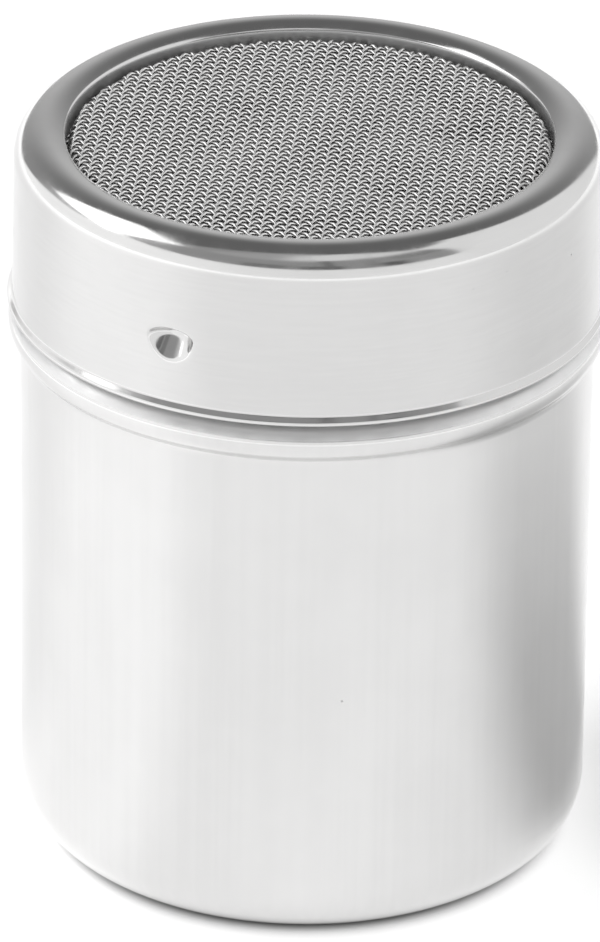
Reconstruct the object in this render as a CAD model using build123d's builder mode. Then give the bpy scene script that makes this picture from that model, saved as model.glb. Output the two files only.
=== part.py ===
from build123d import *
import math
import os

os.makedirs("parts", exist_ok=True)

# A twist-lock shaker: a drawn steel can, and a lid that holds a dished woven mesh.
# Millimetres, +Z up, origin at the centre of the base, on the surface the can stands on.
# The front of the shaker faces -Y.

# ---------------------------------------------------------------- driving dimensions
overall_height = 90.2           # floor to the crest of the lid's rim
sheet = 0.5                     # steel sheet of the can, the lid and the ring

# can
can_radius = 33.65
base_corner_radius = 6.8
base_foot_width = 4.46          # of the flat ring that the can stands on
base_panel_rise = 0.8           # of the panel inside the foot
base_panel_slope = 30.0         # degrees, of the step around the panel
bead_height = 1.45              # of the stop bead under the lid, out from the wall
bead_drop = 2.75                # from the lid's lower edge down to the bead's crest
bead_flank_height = 3.3
bead_flank_share = 0.6          # of the flank's curve that is convex
bead_crown_radius = 1.25
bead_crown_turn = 30.0          # degrees, from the crest to where the shoulder's round starts
bead_shoulder_radius = 4.0
bead_shoulder_lean = 50.0       # degrees from vertical, where the shoulder meets the neck's blend
neck_inset = 0.25               # from the wall in to the neck
neck_blend_radius = 0.6

# lid
lid_height = 21.2
lid_play = 0.52                 # neck to the inside of the skirt, where the skirt is narrowest
lid_edge_land = 0.1
flare_radius = 0.6
flare_run = 0.5                 # straight stretch between the flare's two bends
flare_lean = 38.0               # degrees from vertical
skirt_taper = 0.85              # degrees from vertical
rim_outer_radius = 3.7
rim_inner_radius = 3.7
rim_inner_turn = 33.0           # degrees, from the crest in to the bend of the lip
lip_bend_radius = 0.6
lip_depth = 3.3                 # crest of the rim down to the end of its inner lip

# twist lock
lock_count = 2
lock_azimuth = -117.0           # of the first dimple, in degrees from +X about +Z
dimple_above_edge = 8.2
dimple_length = 5.7
dimple_height = 3.8
dimple_depth = 1.3
groove_lead = 44.0              # rise of a groove in one full turn
groove_side_clearance = 0.4
groove_floor_clearance = 0.3

# mesh
wire_diameter = 0.34
wire_pitch = 1.04
warp_angle = 41.9               # degrees from +X
weft_angle = 127.5
mesh_recess = 1.4               # crest of the rim down to the top of the mesh
mesh_lip_gap = 0.57             # lip to the foot of the mesh's wall
mesh_wall_run = 0.45            # from that foot in to where the mesh turns level
mesh_edge_inset = 1.24          # retaining ring's wall to the mesh's edge
layer_gap = 0.03
wire_sides = 6
wall_band = 4.0                 # a wire this close inside the crown's edge runs along the wall
wall_steps = 4                  # bends of such a wire down the wall

# retaining ring
ring_bore_gap = 0.25            # foot of the mesh's wall out to the ring's bore
ring_wall_height = 1.0
ring_corner_radius = 0.9
ring_side_clearance = 0.15

# clearances
clamp_clearance = 0.08          # mesh edge to the lip above it and to the ring below it
seat_clearance = 0.3            # top of the neck to the underside of the ring

# ---------------------------------------------------------------- derived dimensions
full_turn = 360.0
half_turn = 180.0
quarter_turn = 90.0
up = (0, 1)
outward = (1, 0)

# can
foot_inner_radius = can_radius - base_corner_radius - base_foot_width
panel_step_run = base_panel_rise / math.tan(math.radians(base_panel_slope))
base_panel_radius = foot_inner_radius - panel_step_run
bead_radius = can_radius + bead_height
neck_radius = can_radius - neck_inset

# heights down from the rim
lid_edge_height = overall_height - lid_height
lip_end_height = overall_height - lip_depth
bead_crest = lid_edge_height - bead_drop
dimple_z = lid_edge_height + dimple_above_edge

# the lid's skirt leans in from its flare to the round of its rim
taper = math.radians(skirt_taper)
flare = math.radians(flare_lean)
flare_step = flare_radius * (1 + math.cos(taper) - 2 * math.cos(flare)) + flare_run * math.sin(flare)
flare_rise = flare_radius * (2 * math.sin(flare) - math.sin(taper)) + flare_run * math.cos(flare)
skirt_foot_height = lid_edge_height + lid_edge_land + flare_rise
skirt_top_height = overall_height - rim_outer_radius * (1 - math.sin(taper))
skirt_top_radius = neck_radius + lid_play + sheet


def skirt_radius(z):
    """Outer radius of the lid's skirt at height z."""
    return skirt_top_radius + (skirt_top_height - z) * math.tan(taper)


lid_edge_radius = skirt_radius(skirt_foot_height) + flare_step
crest_radius = skirt_top_radius - rim_outer_radius * math.cos(taper)
rim_turn = math.radians(rim_inner_turn)
lip_radius = crest_radius - (rim_inner_radius - lip_bend_radius) * math.sin(rim_turn) - lip_bend_radius

# the mesh is two layers of wires, either side of its middle surface
mesh_wall_radius = lip_radius - mesh_lip_gap
mesh_crown_radius = mesh_wall_radius - mesh_wall_run
layer_offset = (wire_diameter + layer_gap) / 2
mesh_half = layer_offset + wire_diameter / 2
mesh_crown_height = overall_height - mesh_recess - mesh_half
mesh_rim_height = lip_end_height - clamp_clearance - mesh_half
wall_drop = mesh_crown_height - mesh_rim_height
wall_mitre = math.tan(math.atan2(wall_drop, mesh_wall_run) / 2)

# the retaining ring lies under the mesh's edge, and the can's neck ends under the ring
ring_outer_radius = skirt_top_radius - sheet - ring_side_clearance
ring_bore_radius = mesh_wall_radius + ring_bore_gap
ring_top = mesh_rim_height - mesh_half - clamp_clearance
ring_foot = ring_top - sheet
mesh_rim_radius = ring_outer_radius - sheet - mesh_edge_inset
neck_top = ring_foot - seat_clearance

# a dimple is a spindle sunk into the skirt, and its nub inside is larger by one sheet
dimple_radius = (dimple_height**2 / 4 + dimple_depth**2) / (2 * dimple_depth)
dimple_half_length = dimple_radius * dimple_length / dimple_height
dimple_centre = skirt_radius(dimple_z) + dimple_radius - dimple_depth

# a groove gives the nub room at its floor, its sides and its closed end
groove_radius = dimple_radius + sheet + groove_side_clearance
groove_floor = dimple_centre - dimple_radius - sheet - groove_floor_clearance
groove_centre = groove_floor + groove_radius
groove_end_run = dimple_half_length - dimple_radius + groove_side_clearance
groove_end_angle = math.degrees(groove_end_run / neck_radius)
groove_start = dimple_z - groove_lead * groove_end_angle / full_turn
groove_rise = neck_top + groove_radius - groove_start


def at_each_lock(piece, turn_back=0.0):
    """Copies of a form made at azimuth 0, one at each lock."""
    with BuildPart() as copies:
        with PolarLocations(0, lock_count, start_angle=lock_azimuth - turn_back):
            add(piece)
    return copies.part


def dimple_form(growth):
    """The spindle of a dimple, grown all round."""
    with BuildPart() as spindle:
        with BuildSketch(Plane.XY.offset(dimple_z)):
            with BuildLine():
                arc = EllipticalCenterArc(
                    (dimple_centre, 0),
                    dimple_radius + growth,
                    dimple_half_length + growth,
                    start_angle=quarter_turn,
                    arc_size=half_turn,
                )
                Line(arc @ 0, arc @ 1)
            make_face()
        revolve(axis=Axis((dimple_centre, 0, dimple_z), (0, 1, 0)))
    return at_each_lock(spindle.part)


def groove_form(radius):
    """A round bar along a groove, from its closed end out past the neck's top."""
    with BuildPart() as bar:
        with BuildLine(Plane.XY.offset(groove_start)) as path:
            Helix(pitch=groove_lead, height=groove_rise, radius=groove_centre)
        with BuildSketch(Plane(path.line @ 0, z_dir=path.line % 0)):
            Circle(radius)
        sweep(path=path.line, is_frenet=True)
        with Locations(path.line @ 0):
            Sphere(radius)
    return at_each_lock(bar.part, groove_end_angle)


dimple_hollows = dimple_form(0)
dimple_swells = dimple_form(sheet)
groove_hollows = groove_form(groove_radius)
groove_swells = groove_form(groove_radius + sheet)

# ---------------------------------------------------------------- can
# the back of each groove, pressed in from the neck
with BuildPart() as groove_backs:
    with BuildSketch(Plane.XY.offset(lid_edge_height)):
        Circle(neck_radius - sheet / 2)
    extrude(amount=neck_top - lid_edge_height)
    add(groove_swells, mode=Mode.INTERSECT)

with BuildPart() as can:
    with BuildSketch(Plane.XZ):
        with BuildLine():
            panel = Line((0, base_panel_rise), (base_panel_radius, base_panel_rise))
            step = Line(panel @ 1, (foot_inner_radius, 0))
            foot = Line(step @ 1, (can_radius - base_corner_radius, 0))
            corner = JernArc(foot @ 1, outward, base_corner_radius, quarter_turn)
            wall = Line(corner @ 1, (can_radius, bead_crest - bead_flank_height))

            # the flank curves out from the wall and back to upright at the bead's crest
            flank_turn = 2 * math.atan(bead_height / bead_flank_height)
            flank_radii = bead_flank_height / math.sin(flank_turn)
            hollow_radius = flank_radii * (1 - bead_flank_share)
            swell_radius = flank_radii * bead_flank_share
            hollow = JernArc(wall @ 1, up, hollow_radius, -math.degrees(flank_turn))
            swell = JernArc(hollow @ 1, hollow % 1, swell_radius, math.degrees(flank_turn))

            # the shoulder rounds in from the crest to the neck
            crown = JernArc(swell @ 1, up, bead_crown_radius, bead_crown_turn)
            shoulder_turn = bead_shoulder_lean - bead_crown_turn
            shoulder = JernArc(crown @ 1, crown % 1, bead_shoulder_radius, shoulder_turn)
            lean = math.radians(bead_shoulder_lean)
            blend_step = neck_blend_radius * (1 - math.cos(lean))
            slope_length = ((shoulder @ 1).X - neck_radius - blend_step) / math.sin(lean)
            slope = PolarLine(shoulder @ 1, slope_length, direction=shoulder % 1)
            blend = JernArc(slope @ 1, slope % 1, neck_blend_radius, -bead_shoulder_lean)
            neck = Line(blend @ 1, (neck_radius, neck_top))
            offset(amount=sheet, side=Side.LEFT)
        make_face()
    revolve(axis=Axis.Z)
    add(groove_backs.part)
    add(groove_hollows, mode=Mode.SUBTRACT)

# ---------------------------------------------------------------- lid shell
# nubs on the inside of the skirt, which ride in the grooves
with BuildPart() as nubs:
    with BuildSketch(Plane.XZ):
        with BuildLine():
            low = dimple_z - dimple_height
            high = dimple_z + dimple_height
            inner = skirt_radius(low) - sheet / 2
            inner_high = skirt_radius(high) - sheet / 2
            Polyline((0, low), (inner, low), (inner_high, high), (0, high), close=True)
        make_face()
    revolve(axis=Axis.Z)
    add(dimple_swells, mode=Mode.INTERSECT)

with BuildPart() as lid_shell:
    with BuildSketch(Plane.XZ):
        with BuildLine():
            land_top = lid_edge_height + lid_edge_land
            land = Line((lid_edge_radius, lid_edge_height), (lid_edge_radius, land_top))
            flare_out = JernArc(land @ 1, up, flare_radius, flare_lean)
            flare_side = PolarLine(flare_out @ 1, flare_run, direction=flare_out % 1)
            flare_in = JernArc(flare_side @ 1, flare_out % 1, flare_radius, skirt_taper - flare_lean)
            skirt = Line(flare_in @ 1, (skirt_radius(skirt_top_height), skirt_top_height))
            rim_out = JernArc(skirt @ 1, skirt % 1, rim_outer_radius, quarter_turn - skirt_taper)
            rim_in = JernArc(rim_out @ 1, rim_out % 1, rim_inner_radius, rim_inner_turn)
            lip_bend = JernArc(rim_in @ 1, rim_in % 1, lip_bend_radius, quarter_turn - rim_inner_turn)
            lip = Line(lip_bend @ 1, (lip_radius, lip_end_height))
            offset(amount=sheet, side=Side.LEFT)
        make_face()
    revolve(axis=Axis.Z)
    add(nubs.part)
    add(dimple_hollows, mode=Mode.SUBTRACT)

# ---------------------------------------------------------------- mesh retaining ring
with BuildPart() as mesh_retaining_ring:
    with BuildSketch(Plane.XZ):
        with BuildLine():
            corner_start = ring_outer_radius - ring_corner_radius
            web = Line((ring_bore_radius, ring_foot), (corner_start, ring_foot))
            turn_up = JernArc(web @ 1, outward, ring_corner_radius, quarter_turn)
            upturn = Line(turn_up @ 1, (ring_outer_radius, ring_top + ring_wall_height))
            offset(amount=sheet, side=Side.LEFT)
        make_face()
    revolve(axis=Axis.Z)

# ---------------------------------------------------------------- mesh
# Every wire lies in an upright plane: level over the crown, down the dished wall and out
# level again under the lid's lip. The two layers cross without touching.


def wire_run(distance, side):
    """Points of half a wire, as (along, height), from its middle to its end.

    distance is from the mesh's centre to the wire, side is 1 over and -1 under the middle surface.
    """
    shift = side * layer_offset
    crown = mesh_crown_radius + shift * wall_mitre
    foot = mesh_wall_radius + shift * wall_mitre
    top = mesh_crown_height + shift

    def height(radius):
        share = min(max((radius - crown) / (foot - crown), 0), 1)
        return top - share * wall_drop

    steps = wall_steps if distance > crown - wall_band else 1
    radii = [crown + i * (foot - crown) / steps for i in range(steps + 1)] + [mesh_rim_radius]
    points = [] if distance < crown else [(0, height(distance))]
    reach = 0
    for radius in radii:
        along = math.sqrt(max(radius**2 - distance**2, 0))
        if along > reach + wire_diameter / 2:
            points.append((along, height(radius)))
            reach = along
    return points


def mesh_layer(angle, side):
    """Parallel wires, one pitch apart, out to the mesh's edge."""
    rows = int((mesh_rim_radius - 2 * wire_diameter) / wire_pitch)
    wires = []
    for row in range(-rows, rows + 1):
        half = wire_run(abs(row) * wire_pitch, side)
        points = [(-along, height) for along, height in reversed(half)] + half
        with BuildPart() as wire:
            with BuildLine(Plane.XZ.rotated((0, 0, angle)).offset(row * wire_pitch)) as run:
                Polyline(*dict.fromkeys(points))
            with BuildSketch(Plane(run.line @ 0, z_dir=run.line % 0)):
                RegularPolygon(wire_diameter / 2, wire_sides)
            sweep(path=run.line, transition=Transition.RIGHT)
        wires.append(wire.part)
    with BuildPart() as layer:
        add(wires)
    return layer.part


mesh_warp_wires = mesh_layer(warp_angle, 1)
mesh_weft_wires = mesh_layer(weft_angle, -1)

# ---------------------------------------------------------------- write the pieces
pieces = {
    "can": can.part,
    "lid_shell": lid_shell.part,
    "mesh_retaining_ring": mesh_retaining_ring.part,
    "mesh_warp_wires": mesh_warp_wires,
    "mesh_weft_wires": mesh_weft_wires,
}
for name, piece in pieces.items():
    piece.label = name
    export_step(piece, f"parts/{name}.step")
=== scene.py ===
import math

import bpy
import numpy as np
from mathutils import Matrix, Vector


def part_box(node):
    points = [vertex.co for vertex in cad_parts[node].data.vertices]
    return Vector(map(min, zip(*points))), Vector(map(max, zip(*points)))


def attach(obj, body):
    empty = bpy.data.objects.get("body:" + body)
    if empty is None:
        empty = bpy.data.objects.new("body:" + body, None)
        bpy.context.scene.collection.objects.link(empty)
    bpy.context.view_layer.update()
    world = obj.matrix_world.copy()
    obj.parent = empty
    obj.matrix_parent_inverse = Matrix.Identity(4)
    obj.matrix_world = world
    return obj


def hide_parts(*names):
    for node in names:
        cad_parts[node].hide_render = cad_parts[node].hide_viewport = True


# A mesh-top spice shaker: bright drawn steel can, twist-lock lid and woven wire mesh.
# Metres, +Z up, the shaker stands on z = 0 with its front towards -Y.
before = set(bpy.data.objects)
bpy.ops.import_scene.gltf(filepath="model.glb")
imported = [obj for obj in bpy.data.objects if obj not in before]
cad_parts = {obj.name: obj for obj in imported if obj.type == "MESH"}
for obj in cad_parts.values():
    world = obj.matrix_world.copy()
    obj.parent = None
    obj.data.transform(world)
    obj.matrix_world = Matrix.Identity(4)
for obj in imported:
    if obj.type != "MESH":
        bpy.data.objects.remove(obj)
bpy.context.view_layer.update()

mm = 0.001
full_turn = 2 * math.pi
half_turn = math.pi
quarter_turn = math.pi / 2
up = quarter_turn               # headings in the (radius, height) plane
outward = 0.0

# ---------------------------------------------------------------- sizes from the frame
can_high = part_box("can")[1]
lid_low, lid_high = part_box("lid_shell")
warp_low, warp_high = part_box("mesh_warp_wires")
weft_low, weft_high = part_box("mesh_weft_wires")

overall_height = lid_high.z
lid_edge_height = lid_low.z
lid_edge_radius = lid_high.y
bead_radius = can_high.y
neck_top = can_high.z

# ---------------------------------------------------------------- sizes of the steel pieces
sheet = 0.5 * mm
edge_round = 0.08 * mm          # how far a cut edge bulges
edge_squareness = 0.6           # of the bulge, where 1 is an ellipse and nought a square cut

can_radius = 33.65 * mm
neck_step = 0.25 * mm
neck_radius = can_radius - neck_step
base_corner_radius = 6.8 * mm
base_foot_width = 4.46 * mm
base_panel_rise = 0.8 * mm
base_panel_slope = math.radians(30)
base_panel_blend = 1.6 * mm
base_centre_radius = 0.4 * mm   # of the innermost ring of points, round the pole
bead_gap = 2.75 * mm            # from the bead's crest up to the lid's edge
bead_crest = lid_edge_height - bead_gap
bead_flank_height = 3.3 * mm
bead_flank_share = 0.6          # the upper bend's share of the flank's two bend radii
bead_crown_radius = 1.25 * mm
bead_crown_turn = math.radians(30)
bead_shoulder_radius = 4.0 * mm
bead_shoulder_lean = math.radians(50)
neck_blend_radius = 0.6 * mm

lid_edge_land = 0.1 * mm
flare_radius = 0.6 * mm
flare_run = 0.5 * mm
flare_lean = math.radians(38)
skirt_taper = math.radians(0.85)
rim_outer_radius = 3.7 * mm
rim_inner_radius = 3.7 * mm
rim_inner_turn = math.radians(33)
lip_bend_radius = 0.6 * mm
lip_depth = 3.3 * mm

lock_angles = [math.radians(-117), math.radians(63)]
dimple_height_above_edge = 8.2 * mm
dimple_length = 5.7 * mm
dimple_height = 3.8 * mm
dimple_depth = 1.3 * mm
groove_lead = 44.0 * mm         # rise per turn
groove_side_clearance = 0.4 * mm
groove_floor_clearance = 0.3 * mm
press_blend = 0.1 * mm          # how softly the sheet turns into a groove

dent_half_length = 2.9 * mm     # of a dimple's outline on the outside of the skirt
dent_run_below = 2.85 * mm      # from a dimple's deepest line down to its outline
dent_run_above = 1.25 * mm
dent_line_above_middle = 0.65 * mm
dent_slope = 0.77               # of the sheet below the deepest line
dent_line_round = 0.12          # share of the run over which the deepest line is rounded
dent_edge_round = 0.18 * mm
dent_left_fade = 0.62           # how the outline narrows to the left, where 0.5 is an ellipse
dent_past_ends = 1.3            # where a dimple is over, as a share of its half length
dent_end_fade = 0.25
dent_past_sides = 1.5           # and as a share of its runs
dent_side_fade = 1 / 3
dent_dense_turn = 0.11          # half the angle and half the height with fine steps at a dimple
dent_dense_height = 1.2 * dent_run_below

coarse_columns = math.radians(1.0)
groove_lead_in = 0.6            # angle before a groove's start that is reckoned from that start
groove_dense_middle = 0.6       # angle from a lock to the middle of its groove's fine columns
groove_dense_turn = 0.95        # half the angle that those take up

skirt_wave = 0.006 * mm         # unevenness left by the press
can_wave = 0.004 * mm
sheet_waves = (                 # lobes round, radians per metre up, phase, share
    (3, 1220, 0.0, 1.0),
    (7, 0, -2.1, 0.6),
    (11, 90, 1.3, 0.5),
    (23, 0, 0.4, 0.35),
)

# ---------------------------------------------------------------- sizes of the mesh
wire_diameter = 0.34 * mm
wire_pitch = 1.04 * mm
warp_angle = math.radians(41.9)
weft_angle = math.radians(127.5)
warp_crimp = 0.215 * mm         # a wire's swing to either side of the mesh's surface
weft_crimp = 0.135 * mm
mesh_crown_radius = 27.7 * mm
mesh_wall_radius = 28.0 * mm
mesh_rim_radius = 32.0 * mm
mesh_turn = 0.3 * mm            # how softly the mesh turns at the crown and at the rim
samples_per_pitch = 5
wire_sides = 8
mesh_wave = 0.10 * mm           # how far the mesh strays from level in broad waves
mesh_wave_x = 190               # radians per metre
mesh_wave_y = 150
mesh_ripple = 0.05 * mm         # and in smaller ones
mesh_ripple_x = 420
mesh_ripple_y = -260

# places where handling has pushed the mesh in or out: x, y, reach, height
mesh_dents = (
    (24.0 * mm, 5.5 * mm, 3.4 * mm, 0.2 * mm),
    (17.0 * mm, 0.5 * mm, 3.6 * mm, -0.26 * mm),
    (21.0 * mm, 13.0 * mm, 3.6 * mm, 0.16 * mm),
    (-2.5 * mm, -17.5 * mm, 5.0 * mm, 0.2 * mm),
    (-16.0 * mm, 9.0 * mm, 6.0 * mm, 0.12 * mm),
)


# ---------------------------------------------------------------- outlines
class Outline:
    """A run of straight and round stretches of a sheet's outer side, with the sheet on its left."""

    def __init__(self, radius, height, heading):
        self.points = [(radius, height)]
        self.headings = [heading]

    def line(self, length, steps=1):
        heading = self.headings[-1]
        radius, height = self.points[-1]
        for i in range(1, steps + 1):
            run = length * i / steps
            self.points.append((radius + run * math.cos(heading), height + run * math.sin(heading)))
            self.headings.append(heading)

    def out_to(self, radius, steps=1):
        self.line((radius - self.points[-1][0]) / math.cos(self.headings[-1]), steps)

    def up_to(self, height, steps=1):
        self.line((height - self.points[-1][1]) / math.sin(self.headings[-1]), steps)

    def arc(self, bend_radius, turn, steps):
        """A round stretch that turns left, or right where turn is negative."""
        heading = self.headings[-1]
        radius, height = self.points[-1]
        side = math.copysign(1, turn)
        centre_radius = radius - side * bend_radius * math.sin(heading)
        centre_height = height + side * bend_radius * math.cos(heading)
        for i in range(1, steps + 1):
            now = heading + turn * i / steps
            self.points.append((
                centre_radius + side * bend_radius * math.sin(now),
                centre_height - side * bend_radius * math.cos(now),
            ))
            self.headings.append(now)

    def sides(self, thickness):
        """The outer side and the inner side, as arrays of (radius, height)."""
        outer = np.array(self.points)
        left = np.stack([-np.sin(self.headings), np.cos(self.headings)], 1)
        return outer, outer + thickness * left


def rounded_edge(outer_end, inner_end, steps=3):
    """Points of a cut edge that bulges a little, between the ends of a sheet's two sides."""
    middle = (outer_end + inner_end) / 2
    across = (inner_end - outer_end) / 2
    along = np.array([across[1], -across[0]]) / np.linalg.norm(across)
    points = []
    for i in range(1, 2 * steps):
        angle = half_turn * i / (2 * steps)
        square = math.copysign(abs(math.cos(angle)) ** edge_squareness, math.cos(angle))
        bulge = edge_round * math.sin(angle) ** edge_squareness
        points.append(middle - across * square + along * bulge)
    return np.array(points)


# ---------------------------------------------------------------- meshes
def mesh_object(name, vertices, faces):
    mesh = bpy.data.meshes.new(name)
    mesh.from_pydata(vertices.tolist(), [], faces)
    mesh.validate()
    mesh.shade_smooth()
    piece = bpy.data.objects.new(name, mesh)
    bpy.context.scene.collection.objects.link(piece)
    return piece


def column_angles(coarse, fine, dense_centres, dense_half_width):
    """Angles once round, from the back and back to it, a fine step apart near the dense centres and
    a coarse one elsewhere. A third of the half width blends the one into the other."""
    angles = [-half_turn]
    while angles[-1] < half_turn:
        gaps = [abs((angles[-1] - c + half_turn) % full_turn - half_turn) for c in dense_centres]
        share = min(max(3 * (min(gaps) / dense_half_width - 1), 0), 1)
        angles.append(angles[-1] + fine + (coarse - fine) * share)
    angles = np.array(angles)
    return -half_turn + (angles - angles[0]) / (angles[-1] - angles[0]) * full_turn


def turned(name, loop, angles, press, closed):
    """A sheet turned about the axis. loop is an array of (radius, height, share), where the share is
    nought on the sheet's outer side and one on its inner side. press gives the radius of a place
    from its angle, height, radius and share. Where closed is False, the loop's ends are capped on
    the axis."""
    angles = angles[:-1]        # the last angle is the first one again
    radius = np.repeat(loop[:, 0][:, None], len(angles), 1)
    height = np.repeat(loop[:, 1][:, None], len(angles), 1)
    share = np.repeat(loop[:, 2][:, None], len(angles), 1)
    radius = press(np.broadcast_to(angles, radius.shape), height, radius, share)
    places = np.stack([radius * np.cos(angles), radius * np.sin(angles), height], 2)
    rows, columns = radius.shape
    index = np.arange(rows * columns).reshape(rows, columns)
    after = np.roll(index, -1, 1)
    above = np.roll(index, -1, 0)
    above_after = np.roll(above, -1, 1)
    quads = np.stack([index, after, above_after, above], 2)
    vertices = places.reshape(-1, 3)
    if closed:
        return mesh_object(name, vertices, quads.reshape(-1, 4).tolist())
    faces = quads[:-1].reshape(-1, 4).tolist()
    poles = np.array([[0, 0, height[0, 0]], [0, 0, height[-1, 0]]])
    first, last = rows * columns, rows * columns + 1
    faces += [[first, int(after[0, c]), int(index[0, c])] for c in range(columns)]
    faces += [[last, int(index[-1, c]), int(after[-1, c])] for c in range(columns)]
    return mesh_object(name, np.vstack([vertices, poles]), faces)


def soft_min(a, b, blend):
    """The lower of two radii, rounded where they cross."""
    return -blend * np.logaddexp(-a / blend, -b / blend)


def fade_out(value, end, length):
    """One, then falling to nought over the length before the end."""
    return np.clip((end - value) / length, 0, 1)


def waviness(angle, height, amount):
    """The slight unevenness of pressed sheet."""
    swing = 0
    for lobes, rise, phase, share in sheet_waves:
        swing = swing + share * np.sin(lobes * angle + rise * height + phase)
    return amount * swing


# ---------------------------------------------------------------- forms pressed into the sheet
dimple_z = lid_edge_height + dimple_height_above_edge
dimple_radius = (dimple_height**2 / 4 + dimple_depth**2) / (2 * dimple_depth)
dimple_half_length = dimple_radius * dimple_length / dimple_height
skirt_top_height = overall_height - rim_outer_radius * (1 - math.sin(skirt_taper))
flare_step = flare_radius * (1 + math.cos(skirt_taper) - 2 * math.cos(flare_lean))
flare_step += flare_run * math.sin(flare_lean)
flare_rise = flare_radius * (2 * math.sin(flare_lean) - math.sin(skirt_taper))
flare_rise += flare_run * math.cos(flare_lean)
skirt_foot_radius = lid_edge_radius - flare_step
skirt_foot_height = lid_edge_height + lid_edge_land + flare_rise


def skirt_radius(height):
    return skirt_foot_radius - (height - skirt_foot_height) * math.tan(skirt_taper)


dimple_centre = skirt_radius(dimple_z) + dimple_radius - dimple_depth
groove_radius = dimple_radius + sheet + groove_side_clearance
groove_floor = dimple_centre - dimple_radius - sheet - groove_floor_clearance
groove_centre = groove_floor + groove_radius
groove_end_turn = (dimple_half_length - dimple_radius + groove_side_clearance) / neck_radius
groove_start = dimple_z - groove_lead * groove_end_turn / full_turn


def press_dimples(angle, height, radius, share):
    """The lid's radius with its dimples pressed in. A dimple is a level trough with a long slope
    below its deepest line, a short one above it, a faded left end and a crisp right end."""
    pressed = radius + waviness(angle, height, skirt_wave)
    in_skirt = (height < skirt_top_height) & (radius > mesh_rim_radius)
    # the inner side goes no deeper than the form that runs in the can's groove
    depth_limit = np.where(share > 0.5, dimple_depth, np.inf)
    for lock in lock_angles:
        off = (angle - lock + half_turn) % full_turn - half_turn
        x = radius * off / dent_half_length
        room = np.clip(1 - x**2, 0, None)
        width = np.where(x < 0, room**dent_left_fade, np.sqrt(room))
        y = height - dimple_z - dent_line_above_middle
        run = np.where(y < 0, -y / dent_run_below, y / dent_run_above)
        run = np.sqrt(run**2 + dent_line_round**2)
        level = dent_slope * dent_run_below * (width - run)
        sunk = 0.5 * (level + np.sqrt(level**2 + dent_edge_round**2))
        near = fade_out(np.abs(x), dent_past_ends, dent_end_fade)
        near = near * fade_out(run, dent_past_sides, dent_side_fade)
        depth = np.minimum(sunk * near, depth_limit)
        pressed = np.where(in_skirt, pressed - depth, pressed)
    return pressed


def press_grooves(angle, height, radius, share):
    """The can's radius with the grooves pressed into its neck."""
    pressed = radius
    bar = groove_radius + share * sheet
    for lock in lock_angles:
        off = (angle - lock + groove_end_turn + groove_lead_in) % full_turn - groove_lead_in
        along = np.clip(off, 0, None)
        path_height = groove_start + groove_lead * along / full_turn
        slope = math.cos(math.atan2(groove_lead, full_turn * groove_centre))
        across = (height - path_height) * slope
        short = radius * np.clip(-off, 0, None)
        room = bar**2 - across**2 - short**2
        sunk = np.where(room > 0, groove_centre - np.sqrt(np.clip(room, 0, None)), np.inf)
        pressed = soft_min(pressed, sunk, press_blend)
    in_neck = height > lid_edge_height + sheet
    return np.where(in_neck, pressed, radius + waviness(angle, height, can_wave))


# ---------------------------------------------------------------- can
def can_outline():
    foot_inner = can_radius - base_corner_radius - base_foot_width
    panel_radius = foot_inner - base_panel_rise / math.tan(base_panel_slope)
    trim = base_panel_blend * math.tan(base_panel_slope / 2)
    run = Outline(base_centre_radius, base_panel_rise, outward)
    run.out_to(panel_radius - trim, steps=12)
    run.arc(base_panel_blend, -base_panel_slope, steps=5)
    run.line(base_panel_rise / math.sin(base_panel_slope) - 2 * trim)
    run.arc(base_panel_blend, base_panel_slope, steps=5)
    run.out_to(can_radius - base_corner_radius, steps=5)
    run.arc(base_corner_radius, quarter_turn, steps=18)
    run.up_to(bead_crest - bead_flank_height, steps=30)
    flank_turn = 2 * math.atan((bead_radius - can_radius) / bead_flank_height)
    flank_radii = bead_flank_height / math.sin(flank_turn)
    run.arc(flank_radii * (1 - bead_flank_share), -flank_turn, steps=12)
    run.arc(flank_radii * bead_flank_share, flank_turn, steps=14)
    run.arc(bead_crown_radius, bead_crown_turn, steps=10)
    run.arc(bead_shoulder_radius, bead_shoulder_lean - bead_crown_turn, steps=12)
    blend_step = neck_blend_radius * (1 - math.cos(bead_shoulder_lean))
    slope = run.points[-1][0] - neck_radius - blend_step
    run.line(slope / math.sin(bead_shoulder_lean), steps=4)
    run.arc(neck_blend_radius, -bead_shoulder_lean, steps=8)
    run.up_to(neck_top - edge_round, steps=60)
    return run


def make_can():
    outer, inner = can_outline().sides(sheet)
    edge = rounded_edge(outer[-1], inner[-1])
    edge_share = np.linspace(0, 1, len(edge) + 2)[1:-1]
    loop = np.vstack([
        np.column_stack([outer, np.zeros(len(outer))]),
        np.column_stack([edge, edge_share]),
        np.column_stack([inner[::-1], np.ones(len(inner))]),
    ])
    middles = [lock + groove_dense_middle for lock in lock_angles]
    angles = column_angles(coarse_columns, math.radians(0.5), middles, groove_dense_turn)
    return turned("can_skin", loop, angles, press_grooves, closed=False)


# ---------------------------------------------------------------- lid shell
def lid_outline():
    run = Outline(lid_edge_radius, lid_edge_height + edge_round, up)
    run.up_to(lid_edge_height + lid_edge_land)
    run.arc(flare_radius, flare_lean, steps=10)
    run.line(flare_run, steps=4)
    run.arc(flare_radius, skirt_taper - flare_lean, steps=10)
    run.up_to(dimple_z - dent_dense_height, steps=10)
    run.up_to(dimple_z + dent_dense_height, steps=60)
    run.up_to(skirt_top_height, steps=10)
    run.arc(rim_outer_radius, quarter_turn - skirt_taper, steps=28)
    run.arc(rim_inner_radius, rim_inner_turn, steps=14)
    run.arc(lip_bend_radius, quarter_turn - rim_inner_turn, steps=12)
    run.up_to(overall_height - lip_depth + edge_round, steps=6)
    return run


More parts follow.
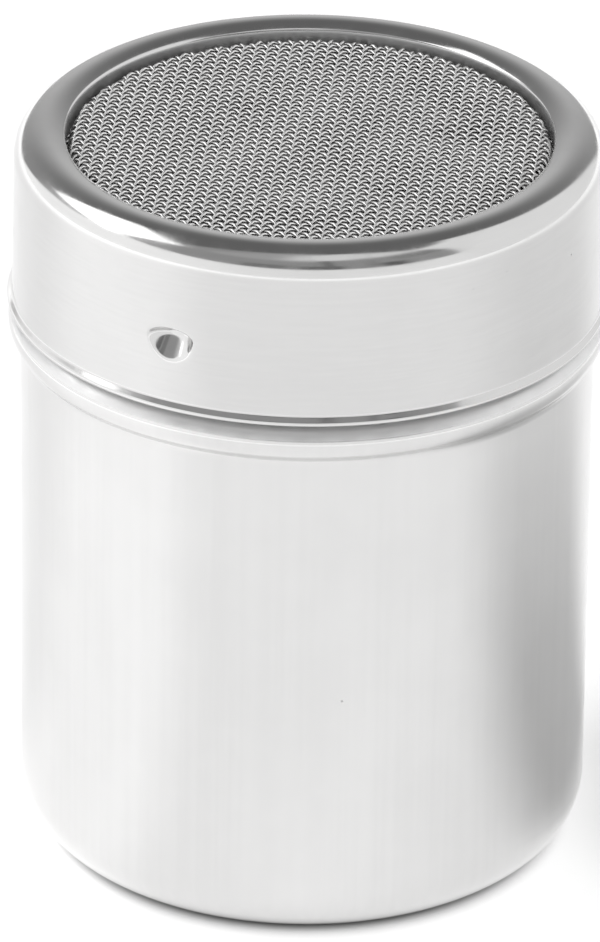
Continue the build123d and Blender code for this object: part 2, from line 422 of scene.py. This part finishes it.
def make_lid():
    outer, inner = lid_outline().sides(sheet)
    top_edge = rounded_edge(outer[-1], inner[-1])
    low_edge = rounded_edge(inner[0], outer[0])
    share = np.linspace(0, 1, len(top_edge) + 2)[1:-1]
    loop = np.vstack([
        np.column_stack([outer, np.zeros(len(outer))]),
        np.column_stack([top_edge, share]),
        np.column_stack([inner[::-1], np.ones(len(inner))]),
        np.column_stack([low_edge, share[::-1]]),
    ])
    angles = column_angles(coarse_columns, math.radians(0.2), lock_angles, dent_dense_turn)
    return turned("lid_skin", loop, angles, press_dimples, closed=True)


# ---------------------------------------------------------------- woven mesh
mesh_crown_height = (warp_high.z + weft_high.z - wire_diameter) / 2
mesh_rim_height = (warp_low.z + weft_low.z + wire_diameter) / 2


def soft_ramp(value):
    """A softly started ramp: nought below -mesh_turn and value above mesh_turn."""
    started = np.clip(value + mesh_turn, 0, 2 * mesh_turn)
    return started**2 / (4 * mesh_turn) + np.clip(value - mesh_turn, 0, None)


def mesh_height(x, y):
    """Height of the mesh's middle surface: level, then down the dished wall to the rim."""
    radius = np.hypot(x, y)
    slope = (mesh_crown_height - mesh_rim_height) / (mesh_wall_radius - mesh_crown_radius)
    fall = slope * (soft_ramp(radius - mesh_crown_radius) - soft_ramp(radius - mesh_wall_radius))
    crown_share = np.clip(1 - (radius / mesh_crown_radius) ** 4, 0, 1)
    sag = mesh_wave * np.sin(mesh_wave_x * x + 0.8) * np.cos(mesh_wave_y * y - 0.4)
    sag += mesh_ripple * np.sin(mesh_ripple_x * x + mesh_ripple_y * y + 2.0)
    for dent_x, dent_y, reach, depth in mesh_dents:
        sag += depth * np.exp(-((x - dent_x) ** 2 + (y - dent_y) ** 2) / reach**2)
    return mesh_crown_height - fall + crown_share * sag


def wire_line(angle, cross_angle, row, crimp):
    """Centre line of one woven wire, with the normals of the mesh's surface along it."""
    along = np.array([math.cos(angle), math.sin(angle)])
    offset = np.array([-math.sin(angle), math.cos(angle)]) * row * wire_pitch
    cross_normal = np.array([-math.sin(cross_angle), math.cos(cross_angle)])
    half = math.sqrt(mesh_rim_radius**2 - (row * wire_pitch) ** 2)
    count = int(2 * half / wire_pitch * samples_per_pitch) + 2
    run = np.linspace(-half, half, count)
    flat = offset + run[:, None] * along
    x, y = flat[:, 0], flat[:, 1]
    step = 0.02 * mm
    slope_x = (mesh_height(x + step, y) - mesh_height(x - step, y)) / (2 * step)
    slope_y = (mesh_height(x, y + step) - mesh_height(x, y - step)) / (2 * step)
    normal = np.stack([-slope_x, -slope_y, np.ones(count)], 1)
    normal /= np.linalg.norm(normal, axis=1)[:, None]
    crossing = flat @ cross_normal / wire_pitch
    swing = crimp * np.cos(math.pi * (crossing + row))
    return np.column_stack([x, y, mesh_height(x, y)]) + swing[:, None] * normal, normal


def make_mesh_layer(name, angle, cross_angle, crimp):
    rows = int((mesh_rim_radius - 2 * wire_diameter) / wire_pitch)
    round_angles = np.arange(wire_sides) * full_turn / wire_sides
    vertices = []
    faces = []
    start = 0
    for row in range(-rows, rows + 1):
        line, normal = wire_line(angle, cross_angle, row, crimp)
        ahead = np.gradient(line, axis=0)
        ahead /= np.linalg.norm(ahead, axis=1)[:, None]
        across = np.cross(ahead, normal)
        across /= np.linalg.norm(across, axis=1)[:, None]
        upright = np.cross(across, ahead)
        ring = np.cos(round_angles)[None, :, None] * across[:, None, :]
        ring = ring + np.sin(round_angles)[None, :, None] * upright[:, None, :]
        tube = line[:, None, :] + ring * wire_diameter / 2
        vertices.append(tube.reshape(-1, 3))
        index = start + np.arange(len(line) * wire_sides).reshape(-1, wire_sides)
        after = np.roll(index, -1, 1)
        quads = np.stack([index[:-1], index[1:], after[1:], after[:-1]], 2)
        faces += quads.reshape(-1, 4).tolist()
        faces += [index[0].tolist(), index[-1][::-1].tolist()]
        start += len(line) * wire_sides
    return mesh_object(name, np.vstack(vertices), faces)


# ---------------------------------------------------------------- materials
class Nodes:
    """A short way to add and link shader nodes."""

    def __init__(self, tree):
        self.tree = tree
        tree.nodes.clear()

    def add(self, kind, inputs=None, **settings):
        node = self.tree.nodes.new(kind)
        for name, value in settings.items():
            setattr(node, name, value)
        for name, value in (inputs or {}).items():
            self.feed(node.inputs[name], value)
        return node

    def feed(self, socket, value):
        if isinstance(value, bpy.types.NodeSocket):
            self.tree.links.new(value, socket)
        else:
            socket.default_value = value

    def math(self, operation, *values):
        return self.add("ShaderNodeMath", dict(enumerate(values)), operation=operation).outputs[0]

    def times(self, first, *others):
        for value in others:
            first = self.math("MULTIPLY", first, value)
        return first

    def plus(self, first, *others):
        for value in others:
            first = self.math("ADD", first, value)
        return first

    def less(self, value, taken):
        return self.math("SUBTRACT", value, taken)

    def ramp(self, value, low, high, at_low=0.0, at_high=1.0):
        """value from low to high becomes at_low to at_high, smoothly and held outside."""
        node = self.add(
            "ShaderNodeMapRange",
            {"Value": value, "From Min": low, "From Max": high, "To Min": at_low, "To Max": at_high},
            interpolation_type="SMOOTHSTEP",
        )
        return node.outputs["Result"]

    def band(self, value, start, full_from, full_to, end):
        """One between full_from and full_to, smoothly down to nought at start and end."""
        rising = self.ramp(value, start, full_from)
        return self.times(rising, self.ramp(value, full_to, end, 1.0, 0.0))

    def noise(self, vector, scale, detail=3.0, roughness=0.5):
        node = self.add(
            "ShaderNodeTexNoise",
            {"Vector": vector, "Scale": scale, "Detail": detail, "Roughness": roughness},
        )
        return node.outputs["Fac"]

    def stretch(self, vector, scale):
        return self.add("ShaderNodeMapping", {"Vector": vector, "Scale": scale}).outputs["Vector"]

    def mix(self, share, low, high):
        node = self.add("ShaderNodeMix", {"Factor": share}, data_type="RGBA")
        self.feed(node.inputs[6], low)
        self.feed(node.inputs[7], high)
        return node.outputs[2]

    def bump(self, height, strength, distance, normal=None):
        inputs = {"Height": height, "Strength": strength, "Distance": distance}
        if normal is not None:
            inputs["Normal"] = normal
        return self.add("ShaderNodeBump", inputs).outputs["Normal"]


def grey(level, warmth=0.0):
    return (level * (1 + warmth), level, level * (1 - warmth), 1)


# features of the steel's surface, as noise or cells per metre
cloud_scale = 70.0
speck_patch_scale = 95.0
wave_scale = 110.0
haze_scale = 260.0
speck_scale = 330.0
grain_scale = 5200.0

steel_warmth = 0.004            # how far its red lies above grey and its blue below
grain_depth = 0.0006 * mm
speck_radius = 0.03             # share of a cell, with a soft edge out to speck_outer
speck_outer = 0.07
speck_grey = 0.2
rub_and_paint_edge = 0.15 * mm            # how softly a zone of the steel, dulled by rubbing and painted with light and shade, ends


def zone(n, place, low_radius, high_radius, low_z, high_z):
    """A mask that is one in a ring round the axis, with soft edges."""
    level = n.add("ShaderNodeVectorMath", {0: place, 1: (1, 1, 0)}, operation="MULTIPLY")
    length = n.add("ShaderNodeVectorMath", {0: level.outputs[0]}, operation="LENGTH")
    radius = length.outputs["Value"]
    z = n.add("ShaderNodeSeparateXYZ", {"Vector": place}).outputs["Z"]
    in_radius = n.band(radius, low_radius - rub_and_paint_edge, low_radius, high_radius, high_radius + rub_and_paint_edge)
    return n.times(in_radius, n.band(z, low_z - rub_and_paint_edge, low_z, high_z, high_z + rub_and_paint_edge))


def steel(name, bright, dull, roughness, draw_scale, draw_depth, wave_depth, specks,
          rub_and_paint_zone=None, painted_light_and_shade_tone=0.0):
    """Polished stainless steel with fine draw lines, soft unevenness, haze and a few specks. The zone,
    as (lowest radius, highest radius, lowest z, highest z), is duller from rubbing and has its own
    painted tone, lighter where it paints light and darker where it paints shade."""
    material = bpy.data.materials.new(name)
    material.use_nodes = True
    n = Nodes(material.node_tree)
    place = n.add("ShaderNodeTexCoord").outputs["Object"]
    lines = n.noise(n.stretch(place, draw_scale), 1.0, 4.0, 0.6)
    cloud = n.noise(place, cloud_scale, 4.0, 0.55)
    haze = n.noise(place, haze_scale, 5.0, 0.65)
    grain = n.noise(place, grain_scale, 2.0, 0.5)

    # specks: the middles of cells, in chosen patches only
    cells = n.add("ShaderNodeTexVoronoi", {"Vector": place, "Scale": speck_scale, "Randomness": 1.0})
    near = n.ramp(cells.outputs["Distance"], speck_radius, speck_outer, 1.0, 0.0)
    chosen = n.ramp(n.noise(place, speck_patch_scale, 2.0), 0.60, 0.66)
    speck = n.times(near, chosen, specks)

    # colour and roughness: broad clouds, draw lines and haze, then the zone dulled by rubbing, with
    # its painted light and shade tone
    tone = n.plus(n.times(cloud, 0.6), n.times(lines, 0.4))
    colour = n.mix(n.ramp(tone, 0.3, 0.7), grey(dull, steel_warmth), grey(bright, steel_warmth))
    colour = n.mix(speck, colour, grey(speck_grey))
    rough = n.ramp(haze, 0.35, 0.75, roughness * 0.75, roughness * 1.5)
    rough = n.plus(rough, n.times(speck, 0.4))
    metallic = 1.0
    if rub_and_paint_zone:
        rub_and_paint_mask = zone(n, place, *rub_and_paint_zone)
        rough = n.plus(rough, n.times(rub_and_paint_mask, n.ramp(haze, 0.3, 0.7, 0.2, 0.32)))
        metallic = n.less(1.0, n.times(rub_and_paint_mask, 0.3))
        # painted light and shade: the zone takes its own tone
        colour = n.mix(n.times(rub_and_paint_mask, 0.8), colour, grey(painted_light_and_shade_tone))

    # bumps: the sheet's waves, then the draw lines, then the grain
    wavy = n.bump(n.noise(place, wave_scale, 1.0), 1.0, wave_depth)
    drawn = n.bump(lines, 1.0, draw_depth, wavy)
    fine = n.bump(grain, 1.0, grain_depth, drawn)
    shader = n.add(
        "ShaderNodeBsdfPrincipled",
        {"Base Color": colour, "Metallic": metallic, "Roughness": rough, "Normal": fine},
    )
    out = n.add("ShaderNodeOutputMaterial")
    n.tree.links.new(shader.outputs["BSDF"], out.inputs["Surface"])
    return material


def dress(piece, material):
    """Gives a piece its one material."""
    piece.data.materials.clear()
    piece.data.materials.append(material)


# ---------------------------------------------------------------- studio
to_degrees = 180 / math.pi

# Brightness that changes smoothly, as (from, to, in degrees, brightness there, and there).
room_by_rise = (10.0, 60.0, 0.36, 0.17)
back_by_turn = (0.0, 36.0, 0.3, 0.0)
back_by_rise = (15.0, 50.0, 1.0, 0.0)
sweep_by_turn = (-75.0, 0.0, 1.3, 1.08)

# Panels round the shaker. Each has a brightness and edges, as (share of turn, share of rise, limit,
# softness) in degrees, and shows where these shares of turn and rise add up to less than the limit
# of every edge. Turn is nought in front and grows to the right, and rise is nought at the level. A
# later panel hides an earlier one.
studio_panels = (
    (0.38, ((-1, 0, 82, 6), (1, 0, 70, 4), (0, -1, -26, 4))),                       # front wall
    (0.48, ((-1, 0, 60, 12), (1, 0, 0, 20), (0, -1, -60, 6))),                      # above, left
    (0.92, ((-1, 0, 14, 18), (1, 0, 76, 16), (0, -1, -63, 8), (0, 1, 84, 6))),      # above, right
    (0.62, ((-1, 0, 122, 12), (1, 0, -70, 10), (-0.37, 1, 72, 4))),                 # by the key light
    (1.04, ((-1, 0.3, -54, 3), (1, 0.42, 148, 6), (0, 1, 65, 5))),                  # right
    # dark cards and gaps in front
    (0.24, ((-1, 0, 28, 3), (1, 0, -9, 3), (0, -1, -31, 2), (0, 1, 45, 3))),
    (0.17, ((-1, 0, 4, 2), (1, 0, 15, 2), (0, -1, -30, 2), (0, 1, 43, 2))),
    (0.20, ((-1, 0, -7, 1), (1, 0, 12, 1), (0, -1, -30, 2), (0, 1, 62, 2))),
    (0.22, ((-1, 0.3, -14, 1), (1, -0.3, 17, 1), (0, -1, -29, 2), (0, 1, 66, 3))),
    (0.10, ((-1, 0, -32, 1), (1, 0, 42, 1), (0, -1, -28, 2), (0, 1, 43, 2))),
    (0.28, ((-1, 0, -44, 4), (1, 0, 68, 3), (0, -1, -48, 3), (0, 1, 59, 3))),
)
# the bright paper sweep, which stands low down from the left round to the right
sweep_edges = (
    (0, 1, 31.5, 1.2), (0.08, 1, 32.2, 1.2), (-0.37, 1, 62.3, 2.0), (-0.8, 1, 114, 3.0), (1, 0, 66, 5),
)


def panel(n, turn, rise, light, around, edges):
    """The surroundings with one more panel of light, within its edges."""
    mask = 1.0
    for turn_share, rise_share, limit, soft in edges:
        level = n.plus(n.times(turn, turn_share), n.times(rise, rise_share))
        mask = n.times(mask, n.ramp(level, limit - soft / 2, limit + soft / 2, 1.0, 0.0))
    return n.plus(around, n.times(n.less(light, around), mask))


def world_light():
    """Soft studio surroundings: a dim room, lighter low down and behind, with its panels."""
    world = bpy.data.worlds.new("studio")
    bpy.context.scene.world = world
    world.use_nodes = True
    n = Nodes(world.node_tree)
    direction = n.add("ShaderNodeTexCoord").outputs["Generated"]
    parts = n.add("ShaderNodeSeparateXYZ", {"Vector": direction})
    x, y, z = (parts.outputs[i] for i in range(3))
    rise = n.times(n.math("ARCSINE", z), to_degrees)
    turn = n.times(n.math("ARCTAN2", x, n.times(y, -1.0)), to_degrees)
    back = n.times(n.math("ARCTAN2", x, y), to_degrees)

    behind = n.ramp(n.math("ABSOLUTE", back), *back_by_turn)
    light = n.plus(n.ramp(rise, *room_by_rise), n.times(behind, n.ramp(rise, *back_by_rise)))
    for brightness, edges in studio_panels:
        light = panel(n, turn, rise, brightness, light, edges)
    light = panel(n, turn, rise, n.ramp(turn, *sweep_by_turn), light, sweep_edges)
    shade = n.add("ShaderNodeBackground", {"Color": grey(1.0), "Strength": light})
    out = n.add("ShaderNodeOutputWorld")
    n.tree.links.new(shade.outputs["Background"], out.inputs["Surface"])


floor_half_width = 6.0
floor_dark, floor_pale = 0.86, 0.88
floor_glow = 0.52

sweep_start = 0.3               # distances between which the floor stands for the sweep's rise
sweep_end = 1.0
sweep_glow = 0.42               # what that adds to the glow

painted_light_turns = (-122.0, -88.0, -60.0, -30.0)      # turns of the painted light on the key light's side: start, full from, full to and end, in degrees
painted_light_glow = 0.19                # painted light: the glow that the floor on the key light's side adds

shade_turns = (50.0, 88.0, 112.0, 140.0)        # the same, of the soft shade to the right
shade_by_x = (30 * mm, 46 * mm, 0.12, 1.0)      # from, to, share there, and there
shade_by_distance = (50 * mm, 200 * mm, 0.46, 0.12)
shade_tone = 0.05

contact_by_distance = (28.0 * mm, 31.0 * mm, 0.85, 0.0)     # shadow right under the base's edge
# painted contact shadow: the glow is nought right under the base's edge
contact_shadow_glow_by_distance = (28.5 * mm, 32.5 * mm, 0.0, 1.0)


def floor():
    """A pale floor that glows a little, more so far off and more on the key light's side as painted
    light, with soft painted shade to the shaker's right and a painted shadow under the base's edge.
    """
    size = floor_half_width
    mesh = bpy.data.meshes.new("floor")
    corners = [(-size, -size, 0), (size, -size, 0), (size, size, 0), (-size, size, 0)]
    mesh.from_pydata(corners, [], [(0, 1, 2, 3)])
    plane = bpy.data.objects.new("floor", mesh)
    bpy.context.scene.collection.objects.link(plane)
    material = bpy.data.materials.new("pale_floor")
    material.use_nodes = True
    n = Nodes(material.node_tree)
    place = n.add("ShaderNodeTexCoord").outputs["Object"]
    parts = n.add("ShaderNodeSeparateXYZ", {"Vector": place})
    x, y = parts.outputs[0], parts.outputs[1]
    turn = n.times(n.math("ARCTAN2", x, n.times(y, -1.0)), to_degrees)
    distance = n.add("ShaderNodeVectorMath", {0: place}, operation="LENGTH").outputs["Value"]

    shade = n.times(
        n.band(turn, *shade_turns), n.ramp(x, *shade_by_x), n.ramp(distance, *shade_by_distance),
    )
    # painted light: the floor glows more on the key light's side
    left = n.times(n.band(turn, *painted_light_turns), painted_light_glow)
    far = n.ramp(distance, sweep_start, sweep_end, 0.0, sweep_glow)
    glow = n.plus(left, far, floor_glow)
    # the glow is cut under the painted shade and the painted contact shadow
    glow = n.times(glow, n.ramp(distance, *contact_shadow_glow_by_distance), n.less(1.0, shade))
    colour = n.mix(n.noise(place, 3.0, 2.0), grey(floor_dark), grey(floor_pale))
    colour = n.mix(shade, colour, grey(shade_tone))
    colour = n.mix(n.ramp(distance, *contact_by_distance), colour, grey(shade_tone))
    shader = n.add(
        "ShaderNodeBsdfPrincipled",
        {
            "Base Color": colour,
            "Roughness": 0.9,
            "Emission Color": grey(1.0),
            "Emission Strength": glow,
        },
    )
    out = n.add("ShaderNodeOutputMaterial")
    n.tree.links.new(shader.outputs["BSDF"], out.inputs["Surface"])
    mesh.materials.append(material)


def key_light():
    """A large soft box, to the left and a little behind."""
    lamp = bpy.data.lights.new("key", "AREA")
    lamp.shape = "RECTANGLE"
    lamp.size = 1.58
    lamp.size_y = 1.42
    lamp.energy = 13.0
    light = bpy.data.objects.new("key", lamp)
    bpy.context.scene.collection.objects.link(light)
    turn, rise, distance = math.radians(-104), math.radians(44), 2.4
    aim = Vector((0, 0, 0.09))
    away = Vector((math.sin(turn) * math.cos(rise), -math.cos(turn) * math.cos(rise), math.sin(rise)))
    light.location = aim + distance * away
    light.rotation_mode = "QUATERNION"
    light.rotation_quaternion = away.to_track_quat("Z", "Y")


def camera():
    """A long lens in front of the shaker that looks down on it at about 27 degrees. The place is in
    metres, the picture's size and the lens's centre and focal length are in pixels."""
    distance, height = 1.014654, 0.567057
    pitch, roll = 0.475, 0.0125
    picture_width, picture_height = 600, 942
    focal_pixels, centre_x = 9653.746, 305.727
    lens = bpy.data.cameras.new("camera")
    lens.sensor_width = 36
    lens.lens = focal_pixels / picture_height * lens.sensor_width
    lens.shift_x = -(centre_x - picture_width / 2) / picture_height
    lens.clip_start, lens.clip_end = 0.01, 100
    view = bpy.data.objects.new("camera", lens)
    bpy.context.scene.collection.objects.link(view)
    turned_up = Matrix.Rotation(quarter_turn - pitch, 4, "X")
    rolled = Matrix.Rotation(roll, 4, "Z")
    view.matrix_world = Matrix.Translation((0, -distance, height)) @ turned_up @ rolled
    bpy.context.scene.camera = view


# ---------------------------------------------------------------- the shaker and its surroundings
can = make_can()
lid = make_lid()
warp = make_mesh_layer("mesh_warp", warp_angle, weft_angle, warp_crimp)
weft = make_mesh_layer("mesh_weft", weft_angle, warp_angle, -weft_crimp)
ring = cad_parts["mesh_retaining_ring"]

# zones dulled by rubbing, with painted light under the lid's edge and painted shade inside the rim, as
# lowest and highest radius, lowest and highest z
rub_and_painted_light_under_lid = (33.2 * mm, 34.9 * mm, lid_edge_height - 2.0 * mm, lid_edge_height + 0.5 * mm)
rub_and_painted_shade_inside_rim = (27.0 * mm, 28.75 * mm, overall_height - 10.2 * mm, overall_height - 0.9 * mm)
# painted light: the can's zone under the lid's edge is lighter, as light bouncing into the gap
can_steel = steel(
    "can_steel", bright=0.70, dull=0.67, roughness=0.13, draw_scale=(900, 900, 14),
    draw_depth=0.0006 * mm, wave_depth=0.004 * mm, specks=0.5, rub_and_paint_zone=rub_and_painted_light_under_lid, painted_light_and_shade_tone=0.78,
)
# painted shade: the lid's zone inside the rim is darker
lid_steel = steel(
    "lid_steel", bright=0.65, dull=0.62, roughness=0.14, draw_scale=(160, 160, 2600),
    draw_depth=0.0007 * mm, wave_depth=0.005 * mm, specks=0.6, rub_and_paint_zone=rub_and_painted_shade_inside_rim, painted_light_and_shade_tone=0.36,
)
ring_steel = steel(
    "ring_steel", bright=0.62, dull=0.55, roughness=0.16, draw_scale=(300, 300, 1500),
    draw_depth=0.003 * mm, wave_depth=0.01 * mm, specks=0.5,
)
wire_steel = steel(
    "wire_steel", bright=0.98, dull=0.93, roughness=0.3, draw_scale=(900, 900, 900),
    draw_depth=0.002 * mm, wave_depth=0.0, specks=0.3,
)

for piece, material, slot, node, body in (
    (can, can_steel, "can_steel", "can", "can"),
    (lid, lid_steel, "lid_steel", "lid_shell", "lid"),
    (warp, wire_steel, "mesh_wire", "mesh_warp_wires", "lid"),
    (weft, wire_steel, "mesh_wire", "mesh_weft_wires", "lid"),
):
    dress(piece, material)
    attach(piece, body)
    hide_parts(node)
dress(ring, ring_steel)

world_light()
floor()
key_light()
camera()
bpy.context.scene.view_settings.view_transform = "Standard"
